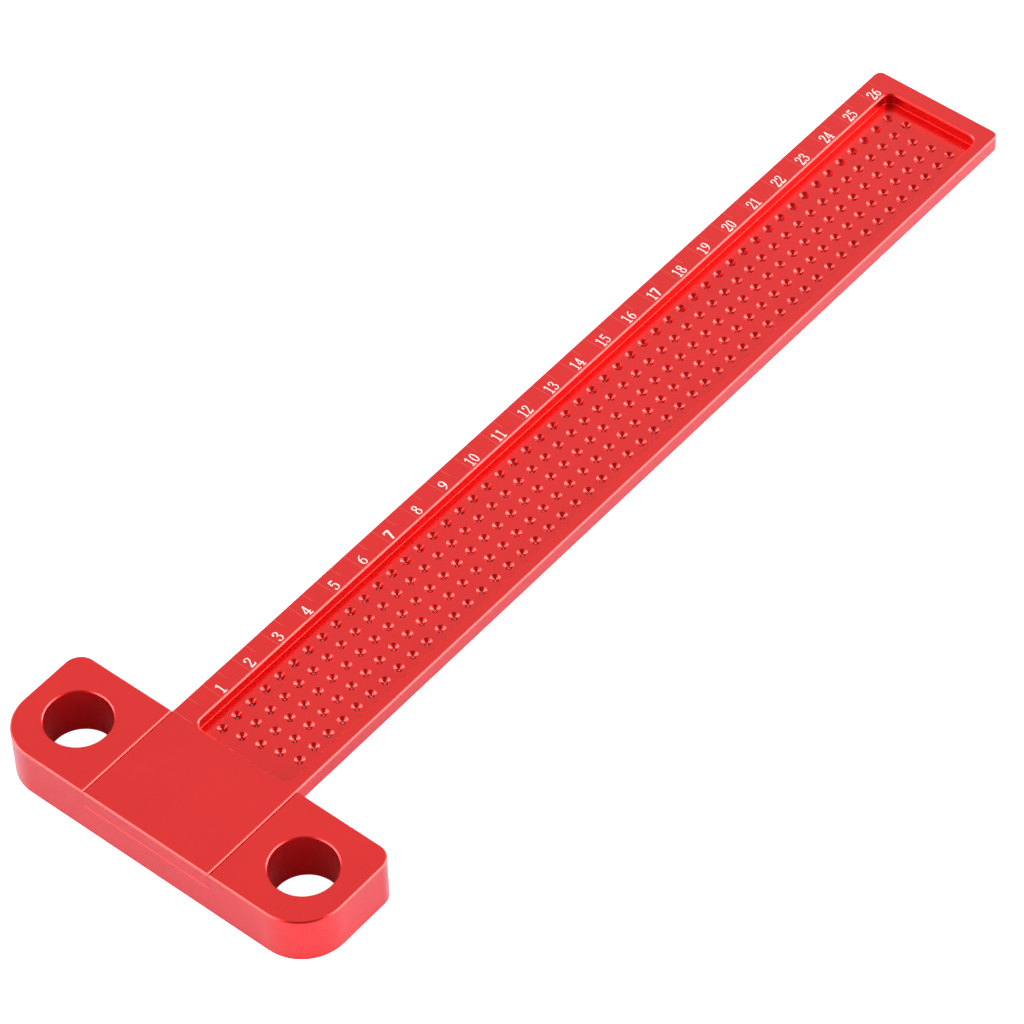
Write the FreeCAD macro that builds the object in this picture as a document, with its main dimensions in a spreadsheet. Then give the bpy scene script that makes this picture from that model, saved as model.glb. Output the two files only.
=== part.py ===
import FreeCAD, Part
import Sketcher
import os
from FreeCAD import Vector

# Marking T-square: a recessed, perforated blade let into a fence block and held by four screws.
# +X runs across the blade (its scale is along the -X edge), +Y along it to the tip, +Z up.
# The origin is on the fence face, in the middle of the blade's underside.

DIMENSIONS = {
    "blade_width": 38.0,
    "blade_thickness": 4.8,
    "blade_reach": 270.4,
    "tip_radius": 2.0,
    "edge_chamfer": 0.32,
    "scale_strip": 6.75,
    "right_rim": 3.25,
    "recess_length": 265.3,
    "recess_depth": 3.2,
    "recess_radius": 2.5,
    "recess_floor_fillet": 0.1,
    "mark_width": 0.14,
    "mark_depth": 0.04,
    "long_mark": 6.75,
    "short_mark": 3.55,
    "notch_width": 0.4,
    "notch_depth": 0.2,
    "notch_length": 0.6,
    "mark_pitch": 10.0,
    "mark_rows": 27,
    "hole_pitch": 5.0,
    "hole_stagger": 1.0,
    "hole_rows": 51,
    "first_column": 10.75,
    "hole_bore": 0.9,
    "hole_countersink": 2.6,
    "hole_angle": 100.0,
    "stock_depth": 30.6,
    "stock_overhang": 29.25,
    "fence_drop": 9.0,
    "front_corner_radius": 12.0,
    "rear_corner_radius": 4.5,
    "slot_clearance": 0.05,
    "slot_chamfer": 0.07,
    "finger_hole": 16.5,
    "finger_offset": 15.25,
    "finger_chamfer": 0.25,
    "screw_spacing_x": 20.0,
    "screw_spacing_y": 15.0,
    "screw_thread": 4.0,
    "screw_head": 7.6,
    "screw_length": 12.0,
    "screw_tip_chamfer": 0.5,
    "screw_recess": 0.2,
    "socket_size": 2.5,
    "socket_depth": 1.5,
    "screw_hole": 4.4,
    "screw_countersink": 8.1,
    "screw_angle": 90.0,
    "tapped_hole": 4.04,
    "tapped_depth": 3.6,
}
COLUMNS = 5          # columns of pencil holes, each one stagger further along than the last
LONG_COLUMNS = 2     # the first columns have one more hole than the others
TOUCH = 0.001        # how near two coordinates are when they are the same, in mm

doc = FreeCAD.newDocument("t_square")
sheet = doc.addObject("Spreadsheet::Sheet", "Dimensions")
for row, (word, value) in enumerate(DIMENSIONS.items(), start=1):
    sheet.set(f"A{row}", word)
    sheet.set(f"B{row}", str(value))
    sheet.setAlias(f"B{row}", word)
doc.recompute()


def bind(obj, name, expression):
    """Tie one property of an object to the sheet: words of the expression that are dimensions."""
    words = [f"Dimensions.{word}" if word in DIMENSIONS else word for word in expression.split()]
    obj.setExpression(name, " ".join(words))


def same(a, b):
    return abs(a - b) < TOUCH


def new_body(name):
    body = doc.addObject("PartDesign::Body", name)
    body.Label = name
    return body


def new_sketch(body, name, height, role="XY_Plane"):
    """A sketch on one of the body's own planes, lifted off it along the plane's normal."""
    sketch = body.newObject("Sketcher::SketchObject", name)
    plane = next(item for item in body.Origin.OriginFeatures if item.Role == role)
    sketch.AttachmentSupport = [(plane, "")]
    sketch.MapMode = "FlatFace"
    bind(sketch, "AttachmentOffset.Base.z", height)
    return sketch


def constrain(sketch, expression, *constraint):
    """Add a dimension to a sketch and tie it to the sheet."""
    index = sketch.addConstraint(Sketcher.Constraint(*constraint))
    bind(sketch, f"Constraints[{index}]", expression)


def add_rectangle(sketch, west, south, width, depth):
    """A rectangle, its lower left corner and both sides tied to the sheet."""
    corners = [Vector(-1, -1, 0), Vector(1, -1, 0), Vector(1, 1, 0), Vector(-1, 1, 0)]
    for start, end in zip(corners, corners[1:] + corners[:1]):
        sketch.addGeometry(Part.LineSegment(start, end), False)
    for side, direction in enumerate(("Horizontal", "Vertical", "Horizontal", "Vertical")):
        sketch.addConstraint(Sketcher.Constraint("Coincident", side, 2, (side + 1) % 4, 1))
        sketch.addConstraint(Sketcher.Constraint(direction, side))
    constrain(sketch, width, "DistanceX", 0, 1, 0, 2, 2.0)
    constrain(sketch, depth, "DistanceY", 1, 1, 1, 2, 2.0)
    constrain(sketch, west, "DistanceX", -1, 1, 0, 1, -1.0)
    constrain(sketch, south, "DistanceY", -1, 1, 0, 1, -1.0)


def add_vee(sketch, centre, top, width, depth):
    """A triangle with its wide side up: the section of an engraved line."""
    corners = [Vector(-1, 5, 0), Vector(1, 5, 0), Vector(0, 4, 0)]
    for start, end in zip(corners, corners[1:] + corners[:1]):
        sketch.addGeometry(Part.LineSegment(start, end), False)
    for side in range(3):
        sketch.addConstraint(Sketcher.Constraint("Coincident", side, 2, (side + 1) % 3, 1))
    sketch.addConstraint(Sketcher.Constraint("Horizontal", 0))
    constrain(sketch, width, "DistanceX", 0, 1, 0, 2, 2.0)
    constrain(sketch, f"{centre} - {width} / 2", "DistanceX", -1, 1, 0, 1, -1.0)
    constrain(sketch, top, "DistanceY", -1, 1, 0, 1, 5.0)
    constrain(sketch, centre, "DistanceX", -1, 1, 1, 2, 0.0)
    constrain(sketch, f"{top} - {depth}", "DistanceY", -1, 1, 1, 2, 4.0)


def add_circle(sketch, x, y, diameter):
    """A circle, its centre and diameter tied to the sheet."""
    circle = sketch.addGeometry(Part.Circle(Vector(1, 1, 0), Vector(0, 0, 1), 1.0), False)
    constrain(sketch, diameter, "Diameter", circle, 2.0)
    constrain(sketch, x, "DistanceX", -1, 1, circle, 3, 1.0)
    constrain(sketch, y, "DistanceY", -1, 1, circle, 3, 1.0)


def pad(body, sketch, name, length):
    feature = body.newObject("PartDesign::Pad", name)
    feature.Profile = sketch
    bind(feature, "Length", length)
    doc.recompute()
    return feature


def pocket(body, sketch, name, length, upwards=False):
    """A pocket cut down from its sketch, or upwards from a sketch under the solid."""
    before = body.Shape.Volume
    feature = body.newObject("PartDesign::Pocket", name)
    feature.Profile = sketch
    feature.Reversed = upwards
    bind(feature, "Length", length)
    doc.recompute()
    if body.Shape.Volume >= before:
        raise RuntimeError(f"{name} removed nothing")
    return feature


def countersunk_holes(body, sketch, name, bore, countersink, angle, upwards=False):
    """Through holes with a countersink at the sketch's side."""
    before = body.Shape.Volume
    feature = body.newObject("PartDesign::Hole", name)
    feature.Profile = sketch
    doc.recompute()
    feature.DepthType = "ThroughAll"
    feature.HoleCutType = "Countersink"
    feature.HoleCutCustomValues = True
    feature.Reversed = upwards
    bind(feature, "Diameter", bore)
    bind(feature, "HoleCutDiameter", countersink)
    bind(feature, "HoleCutCountersinkAngle", angle)
    doc.recompute()
    if body.Shape.Volume >= before:
        raise RuntimeError(f"{name} removed nothing")
    return feature


def repeat(body, feature, name, direction, pitch, count):
    """Repeat a feature in a straight line."""
    before = body.Shape.Volume
    pattern = body.newObject("PartDesign::LinearPattern", name)
    pattern.Originals = [feature]
    pattern.Direction = direction
    bind(pattern, "Length", f"{pitch} * ( {count} - 1 )")
    bind(pattern, "Occurrences", count)
    body.Tip = pattern
    doc.recompute()
    if body.Shape.Volume >= before:
        raise RuntimeError(f"{name} removed nothing")
    return pattern


def edges(feature, test):
    """Names of a feature's edges whose bounding box passes a test."""
    return [f"Edge{i}" for i, edge in enumerate(feature.Shape.Edges, start=1) if test(edge.BoundBox)]


def fillet(body, base, name, radius, test):
    feature = body.newObject("PartDesign::Fillet", name)
    feature.Base = (base, edges(base, test))
    bind(feature, "Radius", radius)
    doc.recompute()
    return feature


def chamfer(body, base, name, size, test):
    feature = body.newObject("PartDesign::Chamfer", name)
    feature.Base = (base, edges(base, test))
    bind(feature, "Size", size)
    doc.recompute()
    return feature


def screw_places():
    """Position name and signs of the four screws, as seen from above with the tip away."""
    for end, y_sign in (("front", "-"), ("rear", "+")):
        for side, x_sign in (("left", "-"), ("right", "+")):
            yield f"{end}_{side}", x_sign, y_sign


def screw_x(sign):
    return f"{sign} screw_spacing_x / 2"


def screw_y(sign):
    return f"- stock_depth / 2 {sign} screw_spacing_y / 2"


def engrave_marks(body, name, count, start, length, first, width, depth, along):
    """A row of engraved lines of one length, each starting at one distance from the blade's left edge."""
    section = new_sketch(body, f"{name}_section", f"- blade_width / 2 + {start}", "YZ_Plane")
    add_vee(section, first, "blade_thickness", width, depth)
    mark = pocket(body, section, name, length, upwards=True)
    repeat(body, mark, f"{name}_rows", (along, ["V_Axis"]), "mark_pitch", count)


def build_blade():
    """The blade: a flat bar with a recess, rows of pencil holes and tapped holes underneath."""
    body = new_body("blade")
    outline = new_sketch(body, "blade_outline", "0")
    add_rectangle(outline, "- blade_width / 2", "- stock_depth", "blade_width", "stock_depth + blade_reach")
    bar = pad(body, outline, "blade_bar", "blade_thickness")

    top = sheet.get("blade_thickness")
    tip = sheet.get("blade_reach")
    corners = fillet(body, bar, "tip_corners", "tip_radius",
                     lambda b: b.ZLength > top / 2 and same(b.YMin, tip))

    recess_outline = new_sketch(body, "recess_outline", "blade_thickness")
    west = "- blade_width / 2 + scale_strip"
    add_rectangle(recess_outline, west, "0", "blade_width - scale_strip - right_rim", "recess_length")
    recess = pocket(body, recess_outline, "recess", "recess_depth")
    floor = top - sheet.get("recess_depth")
    walls = fillet(body, recess, "recess_corners", "recess_radius",
                   lambda b: same(b.ZMin, floor) and same(b.ZMax, top))
    walls = fillet(body, walls, "recess_floor_edges", "recess_floor_fillet",
                   lambda b: same(b.ZMin, floor) and same(b.ZMax, floor))
    front = -sheet.get("stock_depth")
    chamfer(body, walls, "blade_edges", "edge_chamfer",
            lambda b: b.ZLength < TOUCH and
            (same(b.ZMin, top) or same(b.ZMin, 0) and not same(b.YMax, front)))

    centres = new_sketch(body, "hole_centres", "blade_thickness - recess_depth")
    for column in range(COLUMNS):
        add_circle(centres, f"- blade_width / 2 + first_column + hole_pitch * {column}",
                   f"hole_pitch + hole_stagger * {column}", "hole_bore")
    cuts = ("hole_bore", "hole_countersink", "hole_angle")
    holes = countersunk_holes(body, centres, "pencil_holes", *cuts)
    repeat(body, holes, "hole_rows", (centres, ["V_Axis"]), "hole_pitch", "hole_rows")

    last_centres = new_sketch(body, "last_hole_centres", "blade_thickness - recess_depth")
    for column in range(LONG_COLUMNS):
        add_circle(last_centres, f"- blade_width / 2 + first_column + hole_pitch * {column}",
                   f"hole_pitch * ( hole_rows + 1 ) + hole_stagger * {column}", "hole_bore")
    countersunk_holes(body, last_centres, "last_pencil_holes", *cuts)

    fine = ("mark_width", "mark_depth", centres)
    engrave_marks(body, "centimetre_marks", "mark_rows", "0", "long_mark", "0", *fine)
    engrave_marks(body, "half_marks", "mark_rows", "0", "short_mark", "mark_pitch / 2", *fine)
    engrave_marks(body, "rim_notches", "mark_rows - 1", "long_mark - notch_length / 2", "notch_length",
                  "mark_pitch", "notch_width", "notch_depth", centres)

    tapped = new_sketch(body, "tapped_hole_centres", "0")
    for _, x_sign, y_sign in screw_places():
        add_circle(tapped, screw_x(x_sign), screw_y(y_sign), "tapped_hole")
    pocket(body, tapped, "tapped_holes", "tapped_depth", upwards=True)
    return body


def build_stock():
    """The stock: the fence block with a slot for the blade, finger holes and screw holes."""
    body = new_body("stock")
    outline = new_sketch(body, "stock_outline", "- fence_drop")
    add_rectangle(outline, "- blade_width / 2 - stock_overhang", "- stock_depth",
                  "blade_width + 2 * stock_overhang", "stock_depth")
    block = pad(body, outline, "stock_block", "fence_drop + blade_thickness")

    top = sheet.get("blade_thickness")
    bottom = -sheet.get("fence_drop")
    front = -sheet.get("stock_depth")
    radius = sheet.get("finger_hole") / 2
    front_corners = fillet(body, block, "front_corners", "front_corner_radius",
                           lambda b: b.ZLength > top and same(b.YMin, front))
    fillet(body, front_corners, "rear_corners", "rear_corner_radius",
           lambda b: b.ZLength > top and same(b.YMax, 0))

    slot_outline = new_sketch(body, "slot_outline", "blade_thickness")
    add_rectangle(slot_outline, "- blade_width / 2 - slot_clearance", "- stock_depth - 1",
                  "blade_width + 2 * slot_clearance", "stock_depth + 2")
    slot = pocket(body, slot_outline, "blade_slot", "blade_thickness")
    slot_edges = chamfer(body, slot, "slot_edges", "slot_chamfer",
                         lambda b: same(b.ZMin, 0) and same(b.ZMax, 0) and same(b.YMin, b.YMax))
    chamfer(body, slot_edges, "stock_edges", "edge_chamfer",
            lambda b: b.ZLength < TOUCH and (same(b.ZMin, top) or same(b.ZMin, bottom)))

    fingers = new_sketch(body, "finger_hole_centres", "blade_thickness")
    for sign in "-+":
        add_circle(fingers, f"{sign} ( blade_width / 2 + finger_offset )", "- stock_depth / 2", "finger_hole")
    finger_holes = pocket(body, fingers, "finger_holes", "fence_drop + blade_thickness + 1")
    chamfer(body, finger_holes, "finger_hole_edges", "finger_chamfer",
            lambda b: same(b.ZMin, top) and same(b.XLength, 2 * radius) and same(b.YLength, 2 * radius))

    screws = new_sketch(body, "screw_hole_centres", "- fence_drop")
    for _, x_sign, y_sign in screw_places():
        add_circle(screws, screw_x(x_sign), screw_y(y_sign), "screw_hole")
    countersunk_holes(body, screws, "screw_holes", "screw_hole", "screw_countersink", "screw_angle",
                      upwards=True)
    return body


def build_screw(place, x_sign, y_sign):
    """A countersunk hex-socket screw, driven up through the stock into the blade."""
    head_height = "( screw_head - screw_thread ) / 2"
    head = doc.addObject("Part::Cone", f"head_{place}")
    bind(head, "Radius1", "screw_head / 2")
    bind(head, "Radius2", "screw_thread / 2")
    bind(head, "Height", head_height)

    shank = doc.addObject("Part::Cylinder", f"shank_{place}")
    bind(shank, "Radius", "screw_thread / 2")
    bind(shank, "Height", f"screw_length - {head_height} - screw_tip_chamfer")
    bind(shank, "Placement.Base.z", head_height)

    tip = doc.addObject("Part::Cone", f"tip_{place}")
    bind(tip, "Radius1", "screw_thread / 2")
    bind(tip, "Radius2", "screw_thread / 2 - screw_tip_chamfer")
    bind(tip, "Height", "screw_tip_chamfer")
    bind(tip, "Placement.Base.z", "screw_length - screw_tip_chamfer")

    whole = doc.addObject("Part::MultiFuse", f"whole_{place}")
    whole.Shapes = [head, shank, tip]

    socket = doc.addObject("Part::Prism", f"socket_{place}")
    socket.Polygon = 6
    bind(socket, "Circumradius", "socket_size / sqrt(3)")
    bind(socket, "Height", "socket_depth")

    screw = doc.addObject("Part::Cut", f"screw_{place}")
    screw.Label = f"screw_{place}"
    screw.Base = whole
    screw.Tool = socket
    bind(screw, "Placement.Base.x", screw_x(x_sign))
    bind(screw, "Placement.Base.y", screw_y(y_sign))
    bind(screw, "Placement.Base.z", "- fence_drop + screw_recess")
    return screw


def write_parts(parts):
    """Check every object of the document and each part's shape, then write the STEP files."""
    doc.recompute()
    for obj in doc.Objects:
        if {"Invalid", "Error"} & set(obj.State):
            raise RuntimeError(f"{obj.Name} did not compute: {obj.State}")
    for part in parts:
        if part.Shape.isNull() or not part.Shape.isValid() or len(part.Shape.Solids) != 1:
            raise RuntimeError(f"{part.Label} is not one valid solid")
    os.makedirs("parts", exist_ok=True)
    for part in parts:
        part.Shape.exportStep(f"parts/{part.Label}.step")
        box = part.Shape.BoundBox
        print(f"{part.Label}: {part.Shape.Volume:.1f} mm3, {box.XLength:.2f} x {box.YLength:.2f} "
              f"x {box.ZLength:.2f} mm, {len(part.Shape.Faces)} faces")


write_parts([build_blade(), build_stock()] + [build_screw(*place) for place in screw_places()])
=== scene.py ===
import math

import bmesh
import bpy
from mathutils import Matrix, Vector
from mathutils.geometry import delaunay_2d_cdt


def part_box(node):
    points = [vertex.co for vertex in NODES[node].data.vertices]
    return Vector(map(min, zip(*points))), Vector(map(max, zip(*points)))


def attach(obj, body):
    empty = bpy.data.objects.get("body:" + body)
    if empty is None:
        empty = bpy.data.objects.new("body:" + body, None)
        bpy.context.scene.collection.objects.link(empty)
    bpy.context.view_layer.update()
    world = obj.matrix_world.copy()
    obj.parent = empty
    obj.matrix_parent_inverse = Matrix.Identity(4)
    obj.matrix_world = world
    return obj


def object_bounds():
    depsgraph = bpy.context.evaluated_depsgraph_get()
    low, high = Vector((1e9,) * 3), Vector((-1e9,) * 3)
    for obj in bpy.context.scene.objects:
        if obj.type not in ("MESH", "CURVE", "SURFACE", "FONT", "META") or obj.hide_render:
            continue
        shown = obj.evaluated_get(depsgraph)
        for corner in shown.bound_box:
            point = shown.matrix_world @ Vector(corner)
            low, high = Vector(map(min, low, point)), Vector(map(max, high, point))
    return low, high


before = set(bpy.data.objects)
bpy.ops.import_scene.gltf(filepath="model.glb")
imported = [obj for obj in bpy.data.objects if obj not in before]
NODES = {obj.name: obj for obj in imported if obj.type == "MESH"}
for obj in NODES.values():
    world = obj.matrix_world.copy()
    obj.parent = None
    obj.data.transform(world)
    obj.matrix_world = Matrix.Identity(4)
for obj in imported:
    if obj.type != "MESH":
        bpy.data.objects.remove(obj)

# Marking T-square in red anodised aluminium. The blade, stock and screws keep their CAD shapes;
# this script gives them their finish, paints the numerals, fills the scale's lines and sets the studio.
# Metres throughout. X runs across the blade, Y along it to the tip, Z up; the fence is at Y = 0.

MM = 0.001
CAD_LOW, CAD_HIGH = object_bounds()
BLADE_LOW, BLADE_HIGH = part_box("blade")

# numerals: sizes on the blade
NUMERAL_HEIGHT = 3.2 * MM
NUMERAL_BASELINE = 5.95 * MM        # from the scale edge
NUMERAL_PAINT = 0.02 * MM           # paint thickness
CENTIMETRE = 10 * MM
LAST_NUMERAL = 26
SINGLE_WIDTH, SINGLE_START = 3.4 * MM, 0.85 * MM     # per unit of glyph width, and from the mark
DOUBLE_WIDTH, DOUBLE_START = 3.0 * MM, 0.65 * MM
DIGIT_ADVANCE = 0.56                 # from a numeral's first digit to its second, in glyph units
THICK, THIN = 0.105, 0.055           # pen widths, as parts of the numeral's height

# scale lines: they start clear of the edge's bevel and stop at the recess's
LONG_MARK, SHORT_MARK = 6.4 * MM, 3.5 * MM
MARK_START = 0.35 * MM
MARK_WIDTH = 0.12 * MM
MARK_FILL = 0.03 * MM                # thickness of the strip
MARK_BASE = 0.035 * MM               # its underside's depth, so its top is just below the surface

# studio
FLOOR_SIZE = 6.0                     # from the middle to an edge
SHADE_X, SHADE_Y = -4 * MM, 136 * MM   # middle of the painted shade on the floor below the blade: the part of the floor that doesn't glow
SHADE_ACROSS = 12.5 * MM, 16 * MM    # where its edge starts and ends, from that middle
SHADE_ALONG = 133 * MM, 138 * MM
WARM = (1, 0.93, 0.85)               # the side softboxes' colour
OVERHEAD_FROM, HORIZON_TO = 32, 14   # elevations, in degrees, between which the world's light changes


# ---------------------------------------------------------------- materials

def new_material(name):
    """A node material with its Principled shader, and a maker of further nodes."""
    material = bpy.data.materials.new(name)
    material.use_nodes = True
    tree = material.node_tree
    shader = next(n for n in tree.nodes if n.type == "BSDF_PRINCIPLED")

    def node(kind, **values):
        made = tree.nodes.new(kind)
        for key, value in values.items():
            if key in made.inputs:
                made.inputs[key].default_value = value
            else:
                setattr(made, key, value)
        return made

    return material, tree.links.new, shader, node


def noise(node, link, coords, scale, detail, roughness=0.5):
    """Noise in the object's own metres."""
    made = node("ShaderNodeTexNoise", Scale=scale, Detail=detail, Roughness=roughness)
    link(coords.outputs["Object"], made.inputs["Vector"])
    return made.outputs["Fac"]


def ramp(node, link, factor, low, high, low_at=0.3, high_at=0.7):
    """A two-stop ramp over a factor."""
    made = node("ShaderNodeValToRGB")
    stops = made.color_ramp.elements
    stops[0].position, stops[1].position = low_at, high_at
    stops[0].color, stops[1].color = (*low, 1), (*high, 1)
    link(factor, made.inputs["Fac"])
    return made.outputs["Color"]


def map_range(node, link, factor, low, high, low_at=0.3, high_at=0.7):
    """A value that goes from low to high while the factor goes from low_at to high_at."""
    made = node("ShaderNodeMapRange")
    made.inputs["From Min"].default_value = low_at
    made.inputs["From Max"].default_value = high_at
    made.inputs["To Min"].default_value = low
    made.inputs["To Max"].default_value = high
    link(factor, made.inputs["Value"])
    return made.outputs["Result"]


def bump(node, link, shader, height, strength, distance):
    """Raises a shader's surface by a height."""
    made = node("ShaderNodeBump", Strength=strength, Distance=distance)
    link(height, made.inputs["Height"])
    link(made.outputs["Normal"], shader.inputs["Normal"])


def anodised_red(name, deep, bright):
    """Bead-blasted aluminium, dyed red and sealed: a metal under a clear satin film."""
    material, link, shader, node = new_material(name)
    coords = node("ShaderNodeTexCoord")
    cloud = noise(node, link, coords, 45, 4)
    grain = noise(node, link, coords, 5200, 2, 0.6)
    link(ramp(node, link, cloud, deep, bright), shader.inputs["Base Color"])
    link(map_range(node, link, grain, 0.26, 0.33), shader.inputs["Roughness"])
    bump(node, link, shader, grain, 0.12, 0.02 * MM)
    shader.inputs["Metallic"].default_value = 0.9
    shader.inputs["Coat Weight"].default_value = 1.0
    shader.inputs["Coat Roughness"].default_value = 0.22
    shader.inputs["Coat IOR"].default_value = 1.42
    return material


def black_oxide(name):
    """Oiled black steel, a little browner and smoother in patches."""
    material, link, shader, node = new_material(name)
    coords = node("ShaderNodeTexCoord")
    cloud = noise(node, link, coords, 900, 4)
    grain = noise(node, link, coords, 9000, 2)
    link(ramp(node, link, cloud, (0.018, 0.018, 0.02), (0.05, 0.046, 0.044)), shader.inputs["Base Color"])
    link(map_range(node, link, cloud, 0.3, 0.45), shader.inputs["Roughness"])
    bump(node, link, shader, grain, 0.15, 0.01 * MM)
    shader.inputs["Metallic"].default_value = 0.85
    return material


def screen_paint(name, thin, full):
    """Screen-printed paint, thin enough to be a little uneven."""
    material, link, shader, node = new_material(name)
    coords = node("ShaderNodeTexCoord")
    mottle = noise(node, link, coords, 2500, 3)
    link(ramp(node, link, mottle, thin, full), shader.inputs["Base Color"])
    link(map_range(node, link, mottle, 0.45, 0.6), shader.inputs["Roughness"])
    bump(node, link, shader, mottle, 0.1, 0.01 * MM)
    return material


# ---------------------------------------------------------------- numerals

def smooth(points, closed=False, steps=6):
    """A Catmull-Rom curve through points."""
    count = len(points)
    spans = count if closed else count - 1

    def at(i):
        return Vector(points[i % count] if closed else points[max(0, min(count - 1, i))])

    curve = []
    for i in range(spans):
        a, b, c, d = at(i - 1), at(i), at(i + 1), at(i + 2)
        for s in range(steps):
            t = s / steps
            curve.append(0.5 * (2 * b + (c - a) * t + (2 * a - 5 * b + 4 * c - d) * t ** 2
                                + (3 * b - a - 3 * c + d) * t ** 3))
    curve.append(at(0) if closed else at(spans))
    return curve


def loop(x, y, rx, ry, sides=28):
    """A closed ellipse as a pen line."""
    turns = [2 * math.pi * i / sides for i in range(sides + 1)]
    return [Vector((x + rx * math.cos(a), y + ry * math.sin(a))) for a in turns]


def line(*points, width=None):
    return [Vector(p) for p in points], width


def pen(curve):
    return curve, None


def ball(x, y, radius=0.07, sides=14):
    """The round end of a pen line."""
    return [Vector((x + radius * math.cos(2 * math.pi * i / sides),
                    y + radius * math.sin(2 * math.pi * i / sides))) for i in range(sides)]


SIX = [(0.47, 0.92), (0.29, 0.82), (0.14, 0.60), (0.10, 0.34), (0.15, 0.12), (0.28, 0.045),
       (0.42, 0.12), (0.47, 0.30), (0.41, 0.49), (0.28, 0.55), (0.16, 0.47), (0.11, 0.36)]

# each numeral: its pen lines (a centre line, and a width where the pen's own doesn't do) and its balls
GLYPHS = {
    "0": ([pen(loop(0.275, 0.5, 0.185, 0.455))], []),
    "1": ([line((0.28, 0.02), (0.28, 0.98)), line((0.28, 0.95), (0.10, 0.80), width=0.09),
           line((0.09, 0.04), (0.47, 0.04), width=0.08)], []),
    "2": ([pen(smooth([(0.09, 0.72), (0.13, 0.88), (0.27, 0.955), (0.42, 0.87), (0.43, 0.68),
                       (0.33, 0.46), (0.19, 0.26), (0.08, 0.07)])),
           line((0.04, 0.065), (0.50, 0.065), width=0.13), line((0.48, 0.05), (0.52, 0.22), width=0.06)],
          [(0.115, 0.74)]),
    "3": ([pen(smooth([(0.09, 0.80), (0.16, 0.92), (0.29, 0.955), (0.42, 0.86), (0.40, 0.67),
                       (0.29, 0.55), (0.19, 0.53)])),
           pen(smooth([(0.19, 0.53), (0.34, 0.51), (0.46, 0.40), (0.47, 0.22), (0.36, 0.07),
                       (0.20, 0.04), (0.07, 0.12)]))],
          [(0.115, 0.79), (0.10, 0.15)]),
    "4": ([line((0.37, 0.96), (0.05, 0.32), width=0.08), line((0.02, 0.30), (0.54, 0.30), width=0.09),
           line((0.37, 0.98), (0.37, 0.02)), line((0.20, 0.04), (0.54, 0.04), width=0.08)], []),
    "5": ([line((0.13, 0.92), (0.47, 0.92), width=0.14), line((0.16, 0.95), (0.12, 0.54), width=0.07),
           pen(smooth([(0.12, 0.54), (0.25, 0.62), (0.40, 0.56), (0.47, 0.38), (0.45, 0.18),
                       (0.33, 0.06), (0.19, 0.04), (0.07, 0.12)]))],
          [(0.10, 0.15)]),
    "6": ([pen(smooth(SIX))], []),
    "7": ([line((0.05, 0.91), (0.51, 0.91), width=0.14), line((0.49, 0.92), (0.22, 0.02), width=0.15),
           line((0.07, 0.95), (0.05, 0.74), width=0.07)], []),
    "8": ([pen(loop(0.275, 0.745, 0.145, 0.21)), pen(loop(0.275, 0.275, 0.185, 0.235))], []),
    "9": ([pen(smooth([(0.55 - x, 1 - y) for x, y in SIX]))], []),
}


def pen_width(direction):
    """The pen is broad on upright lines and fine on level ones."""
    return THIN + (THICK - THIN) * abs(direction.y) ** 1.4


def stroke_polygons(curve, width):
    """A pen line as a row of quads."""
    sides = []
    for i, point in enumerate(curve):
        before, after = curve[max(0, i - 1)], curve[min(len(curve) - 1, i + 1)]
        direction = (after - before).normalized()
        if i in (0, len(curve) - 1) and (curve[0] - curve[-1]).length < 1e-6:
            direction = (curve[1] - curve[-2]).normalized()
        half = (width or pen_width(direction)) / 2
        across = Vector((-direction.y, direction.x)) * half
        sides.append((point + across, point - across))
    return [[a, b, d, c] for (a, b), (c, d) in zip(sides, sides[1:])]


def glyph_faces(character):
    """The numeral's outline filled with triangles: the union of all its strokes."""
    strokes, balls = GLYPHS[character]
    polygons = [quad for curve, width in strokes for quad in stroke_polygons(curve, width)]
    polygons += [ball(x, y) for x, y in balls]
    points, faces = [], []
    for polygon in polygons:
        faces.append(list(range(len(points), len(points) + len(polygon))))
        points += [Vector(p) for p in polygon]
    points, _, faces, _, _, sources = delaunay_2d_cdt(points, [], faces, 1, 1e-5)
    return points, [face for face, source in zip(faces, sources) if source]


def add_prism(mesh, points, faces, place, thickness):
    """A flat shape made into a closed prism: top, underside and a wall on each open edge."""
    tops = [mesh.verts.new(place(p, thickness)) for p in points]
    unders = [mesh.verts.new(place(p, 0)) for p in points]
    uses = {}
    for face in faces:
        mesh.faces.new([tops[i] for i in face])
        mesh.faces.new([unders[i] for i in reversed(face)])
        for a, b in zip(face, face[1:] + face[:1]):
            uses.setdefault(frozenset((a, b)), []).append((a, b))
    for edge in uses.values():
        if len(edge) == 1:
            a, b = edge[0]
            mesh.faces.new([tops[b], tops[a], unders[a], unders[b]])


def numeral_place(start, width):
    """Maps glyph units to the blade's top: the numeral's top faces the scale edge, and it reads along +Y."""
    def place(point, height):
        x = BLADE_LOW.x + NUMERAL_BASELINE - point.y * NUMERAL_HEIGHT
        return Vector((x, start + point.x * width, BLADE_HIGH.z + height))
    return place


def new_object(name, mesh, material):
    """A mesh object with doubled and loose points removed."""
    data = bpy.data.meshes.new(name)
    bmesh.ops.remove_doubles(mesh, verts=mesh.verts, dist=1e-9)
    loose = [v for v in mesh.verts if not v.link_faces]
    bmesh.ops.delete(mesh, geom=loose, context="VERTS")
    bmesh.ops.recalc_face_normals(mesh, faces=mesh.faces)
    mesh.to_mesh(data)
    mesh.free()
    data.materials.append(material)
    made = bpy.data.objects.new(name, data)
    bpy.context.scene.collection.objects.link(made)
    return made


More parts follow.
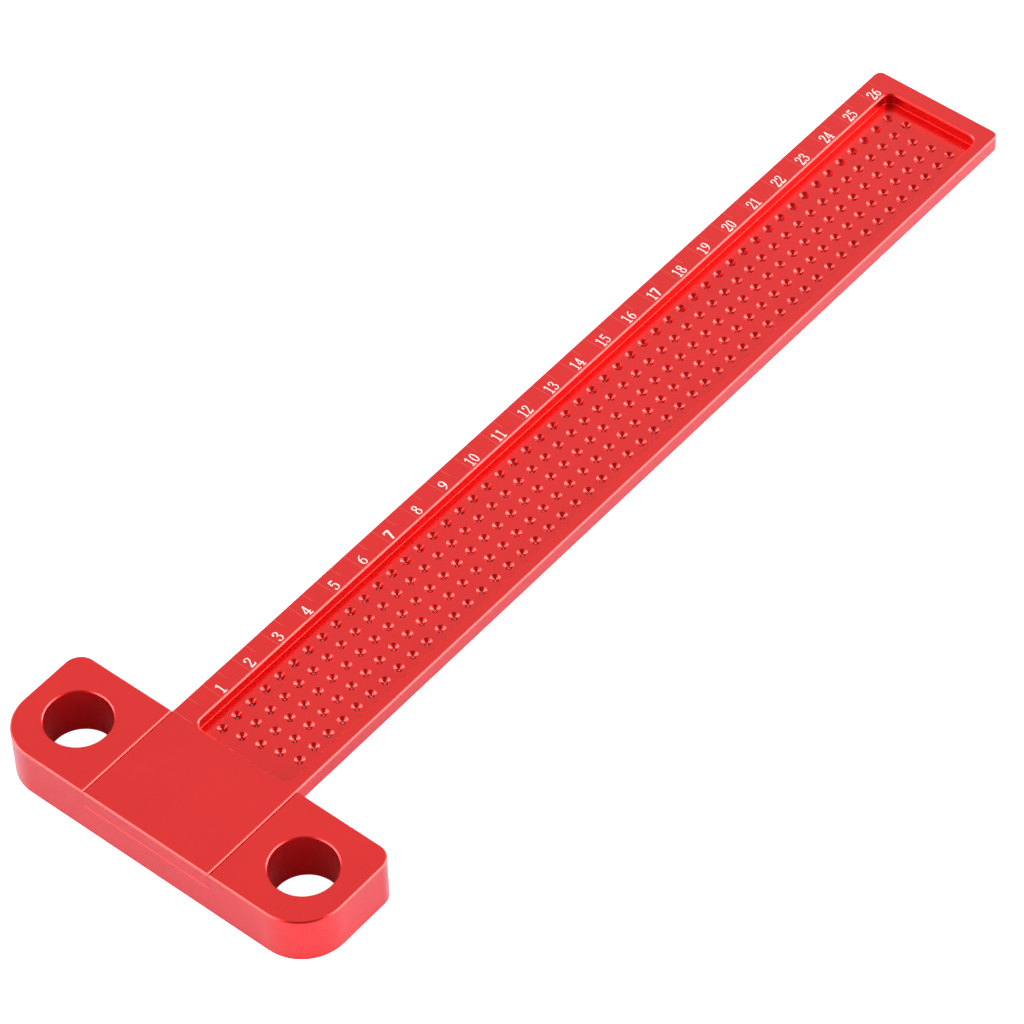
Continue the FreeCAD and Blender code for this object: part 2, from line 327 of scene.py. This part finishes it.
def make_numerals(material):
    """The painted numerals 1 to 26, each just past its centimetre's line."""
    shapes = {character: glyph_faces(character) for character in GLYPHS}
    mesh = bmesh.new()
    for number in range(1, LAST_NUMERAL + 1):
        text = str(number)
        width, start = (SINGLE_WIDTH, SINGLE_START) if len(text) == 1 else (DOUBLE_WIDTH, DOUBLE_START)
        for i, character in enumerate(text):
            place = numeral_place(number * CENTIMETRE + start + DIGIT_ADVANCE * i * width, width)
            add_prism(mesh, *shapes[character], place, NUMERAL_PAINT)
    numerals = new_object("scale_numerals", mesh, material)
    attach(numerals, "root")


def make_marks(material):
    """The scale's lines: pale strips that fill the engraved marks of the blade."""
    mesh = bmesh.new()
    for row in range(LAST_NUMERAL + 1):
        for along, length in ((row * CENTIMETRE, LONG_MARK), ((row + 0.5) * CENTIMETRE, SHORT_MARK)):
            corners = [Vector((x, y)) for x, y in ((MARK_START, -MARK_WIDTH / 2), (length, -MARK_WIDTH / 2),
                                                   (length, MARK_WIDTH / 2), (MARK_START, MARK_WIDTH / 2))]

            def place(point, height, along=along):
                return Vector((BLADE_LOW.x + point.x, along + point.y, BLADE_HIGH.z - MARK_BASE + height))

            add_prism(mesh, corners, [[0, 1, 2, 3]], place, MARK_FILL)
    marks = new_object("scale_marks", mesh, material)
    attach(marks, "root")


# ---------------------------------------------------------------- studio

def dress(node_name, material):
    """Give a CAD node its finish."""
    materials = NODES[node_name].data.materials
    materials.clear()
    materials.append(material)


def make_floor():
    """A pale sheet that the stock stands on. It glows to the camera, except for a patch of painted shadow
    below the blade.
    """
    corners = [(x * FLOOR_SIZE, y * FLOOR_SIZE, CAD_LOW.z) for x, y in ((-1, -1), (1, -1), (1, 1), (-1, 1))]
    data = bpy.data.meshes.new("floor")
    data.from_pydata(corners, [], [(0, 1, 2, 3)])
    material, link, shader, node = new_material("pale_floor")
    shader.inputs["Base Color"].default_value = (0.75, 0.73, 0.87, 1)
    shader.inputs["Roughness"].default_value = 0.8
    shader.inputs["Specular IOR Level"].default_value = 0.0
    shader.inputs["Emission Color"].default_value = (1, 1, 1, 1)

    def maths(operation, first, second):
        made = node("ShaderNodeMath", operation=operation)
        link(first, made.inputs[0])
        if isinstance(second, float):
            made.inputs[1].default_value = second
        else:
            link(second, made.inputs[1])
        return made.outputs[0]

    # the sheet glows to the camera all round the tool, and not below the blade: that patch is a painted
    # shadow, and it keeps the blade's holes dark
    coords = node("ShaderNodeTexCoord")
    axes = node("ShaderNodeSeparateXYZ")
    link(coords.outputs["Object"], axes.inputs["Vector"])
    across = maths("ABSOLUTE", maths("SUBTRACT", axes.outputs["X"], SHADE_X), 0.0)
    along = maths("ABSOLUTE", maths("SUBTRACT", axes.outputs["Y"], SHADE_Y), 0.0)
    outside_painted_shade = maths("MAXIMUM", map_range(node, link, across, 0, 1, *SHADE_ACROSS),
                    map_range(node, link, along, 0, 1, *SHADE_ALONG))
    paths = node("ShaderNodeLightPath")
    link(maths("MULTIPLY", outside_painted_shade, paths.outputs["Is Camera Ray"]), shader.inputs["Emission Strength"])
    data.materials.append(material)
    floor = bpy.data.objects.new("floor", data)
    bpy.context.scene.collection.objects.link(floor)


def make_light(name, direction, distance, size, power, colour=(1, 1, 1)):
    """A softbox that looks at the middle of the object from a direction."""
    data = bpy.data.lights.new(name, "AREA")
    data.shape = "RECTANGLE"
    data.size, data.size_y = size
    data.energy = power
    data.color = colour
    light = bpy.data.objects.new(name, data)
    aim = (CAD_LOW + CAD_HIGH) / 2
    towards = Vector(direction).normalized()
    light.location = aim + towards * distance
    light.rotation_euler = towards.to_track_quat("Z", "Y").to_euler()
    bpy.context.scene.collection.objects.link(light)


def make_world(overhead, horizon):
    """White light from all round: dim overhead, brighter in a band near the horizon."""
    world = bpy.data.worlds.new("studio")
    world.use_nodes = True
    tree = world.node_tree
    background = tree.nodes["Background"]
    background.inputs["Color"].default_value = (1, 1, 1, 1)
    coords = tree.nodes.new("ShaderNodeTexCoord")
    axes = tree.nodes.new("ShaderNodeSeparateXYZ")
    tree.links.new(coords.outputs["Generated"], axes.inputs["Vector"])
    strength = map_range(tree.nodes.new, tree.links.new, axes.outputs["Z"], horizon, overhead,
                         math.sin(math.radians(HORIZON_TO)), math.sin(math.radians(OVERHEAD_FROM)))
    tree.links.new(strength, background.inputs["Strength"])
    bpy.context.scene.world = world


def make_camera():
    """A long lens, above the front right corner."""
    data = bpy.data.cameras.new("camera")
    data.sensor_width = 36.0
    data.lens = 181.32
    data.clip_start, data.clip_end = 0.01, 50
    camera = bpy.data.objects.new("camera", data)
    camera.location = (0.53456, -0.51766, 0.91846)
    camera.rotation_euler = tuple(math.radians(a) for a in (41.5785, 1.2786, 39.4622))
    bpy.context.scene.collection.objects.link(camera)
    bpy.context.scene.camera = camera


red = anodised_red("anodised_red", (0.69, 0.003, 0.0025), (0.73, 0.004, 0.0032))
dress("blade", red)
dress("stock", red)
steel = black_oxide("black_oxide_steel")
for name in NODES:
    if name.startswith("screw_"):
        dress(name, steel)
make_numerals(screen_paint("white_paint", (0.58, 0.54, 0.55), (0.68, 0.66, 0.67)))
make_marks(screen_paint("pale_marks", (0.40, 0.055, 0.055), (0.48, 0.08, 0.08)))

make_camera()
make_floor()
make_world(overhead=0.22, horizon=0.85)
make_light("left_softbox", (-0.622, -0.691, 0.362), 1.8, (3.2, 0.92), 74, WARM)
make_light("right_softbox", (0.733, 0.573, 0.366), 1.8, (3.2, 0.96), 100, WARM)
make_light("top_softbox", (-0.43, 0.5, 0.75), 1.2, (1.0, 1.0), 2.55)
bpy.context.scene.view_settings.view_transform = "Standard"
